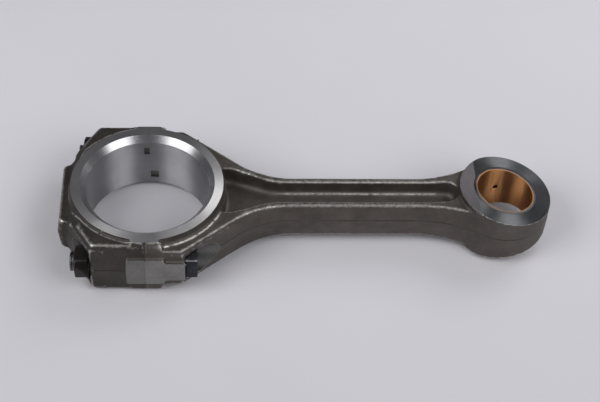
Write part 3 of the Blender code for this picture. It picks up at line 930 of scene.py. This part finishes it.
def makeNut(name):
    def at(x):
        return (bigX + x, -boltY, midZ)

    corner = nut["acrossFlats"] / math.sqrt(3)
    flat = nut["acrossFlats"] / 2
    start, end, crown = nut["start"], nut["end"], nut["crown"]
    piece = addRound(name, corner, at(start), at(end), segments=6)
    centre = Vector(at(start))
    turn = math.radians(nut["turn"])
    spin = Matrix.Translation(centre) @ Matrix.Rotation(turn, 4, "X") @ Matrix.Translation(-centre)
    piece.data.transform(spin)
    wide = corner + nut["cornerOver"]
    narrow = flat - nut["crownIn"]
    barrel = addRound("barrel", wide, at(start + crown), at(end - crown), segments=96)
    combine(barrel, "UNION", addRound("crown", narrow, at(start), at(start + crown), wide, 96),
            addRound("crown", wide, at(end - crown), at(end), narrow, 96))
    combine(piece, "INTERSECT", barrel)
    combine(piece, "DIFFERENCE", addRound("hole", nut["hole"], at(start - 0.01), at(end + 0.01), segments=96),
            addRound("sink", nut["hole"] + nut["sink"], at(start - 0.0006), at(start + 0.0010),
                     nut["hole"] - 0.0002, 96))
    softenEdges(piece, nut["edge"])
    return piece


nutTurn = math.radians(nut["twinTurn"])
for makePiece, kind, slotName, look, turn in ((makeBolt, "bolt", "bolt_steel", blackBolt, 0.0),
                                             (makeNut, "nut", "nut_steel", darkNut, nutTurn)):
    front = makePiece(kind + "Front")
    front.data.materials.clear()
    front.data.materials.append(look)
    back = twinAcross(front, kind + "Back", turn)
    for piece, side in ((front, "front"), (back, "back")):
        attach(piece, "root")
        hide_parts("cap_" + kind + "_" + side)
bushEdge = bush["edge"]
pinEdge = 0.0005
for nodeName, name, slotName, look, edge in (
        ("small_end_bush", "linedBush", "bush_bronze", bronze, bushEdge),
        ("locating_pin_front", "frontPin", "pin_steel", groundPin, pinEdge),
        ("locating_pin_back", "backPin", "pin_steel", groundPin, pinEdge)):
    piece = copyOfNode(nodeName, name)
    softenEdges(piece, edge)
    piece.data.materials.append(look)
    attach(piece, "root")
    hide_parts(nodeName)
print("bolts, nuts, bush and pins done")

studio = {
    "floor": (0.76, 0.75, 0.79),
    "world": (0.93, 0.93, 1.0),
    "worldStrength": 0.20,
    "floorSize": 6,
    "floorDark": 0.78,
    "floorBright": 1.13,
    "lights": {
        "leftSoftBox": (6.0, (-0.76, -0.38, 0.85)),
        "rightSoftBox": (5.4, (0.61, -0.59, 0.85)),
        "backSoftBox": (3.4, (0.72, 0.62, 0.88)),
    },
    "lightSize": 0.7,
    "lens": 85.77,
    "sensorWidth": 36,
    "azimuth": -0.0888,
    "elevation": 0.8281,
    "roll": 0.0685,
    "distance": 1.0688576,
    "targetFromBigAxis": (0.1112502, 0.0279514),
}


def makeFloor():
    deselectAll()
    bpy.ops.mesh.primitive_plane_add(size=studio["floorSize"], location=(0, 0, -0.0002))
    floor = added("paperFloor")
    look, shader, coords = newLook("palePaper", metallic=0.0, roughness=0.75)
    fibre = coords.noise(900, 4, 0.6)
    cloud = coords.noise(4, 3)
    # painted shading: the sheet is painted darker towards the front, standing in for light that falls off
    # there
    depth = coords.part(1).between(-0.24, 0.24)
    tone = cloud.between(0.3, 0.7) * 0.12 + fibre * 0.05 + depth * 0.83
    base = studio["floor"]
    colour = tone.mixed(tinted(base, studio["floorDark"]), tinted(base, studio["floorBright"]))
    connect(look, shader, colour=colour, normal=(fibre + cloud).bump(0.0001, 0.5))
    floor.data.materials.append(look)


def makeLights():
    world = bpy.data.worlds.new("softRoom")
    bpy.context.scene.world = world
    world.use_nodes = True
    sky = world.node_tree.nodes["Background"]
    sky.inputs["Color"].default_value = tinted(studio["world"])
    sky.inputs["Strength"].default_value = studio["worldStrength"]
    for name, (power, spot) in studio["lights"].items():
        deselectAll()
        bpy.ops.object.light_add(type="AREA", location=spot)
        light = bpy.context.object
        light.name = name
        light.data.size = studio["lightSize"]
        light.data.energy = power
        light.rotation_euler = (-Vector(spot)).to_track_quat("-Z", "Y").to_euler()


def makeCamera():
    deselectAll()
    bpy.ops.object.camera_add()
    camera = bpy.context.object
    camera.data.lens = studio["lens"]
    camera.data.sensor_width = studio["sensorWidth"]
    azimuth, elevation, roll = studio["azimuth"], studio["elevation"], studio["roll"]
    alongX, alongY = studio["targetFromBigAxis"]
    target = Vector((bigX + alongX, alongY, 0))
    back = Vector((math.sin(azimuth) * math.cos(elevation), -math.cos(azimuth) * math.cos(elevation),
                   math.sin(elevation)))
    right = (-back).cross(Vector((0, 0, 1))).normalized()
    up = right.cross(-back)
    turnedRight = right * math.cos(roll) + up * math.sin(roll)
    turnedUp = up * math.cos(roll) - right * math.sin(roll)
    turn = Matrix((turnedRight, turnedUp, back)).transposed().to_4x4()
    camera.matrix_world = Matrix.Translation(target + back * studio["distance"]) @ turn
    bpy.context.scene.camera = camera


makeFloor()
makeLights()
makeCamera()
bpy.context.scene.view_settings.view_transform = "Standard"
print("studio set")


def plain(box):
    return [[float(v) for v in corner] for corner in box]
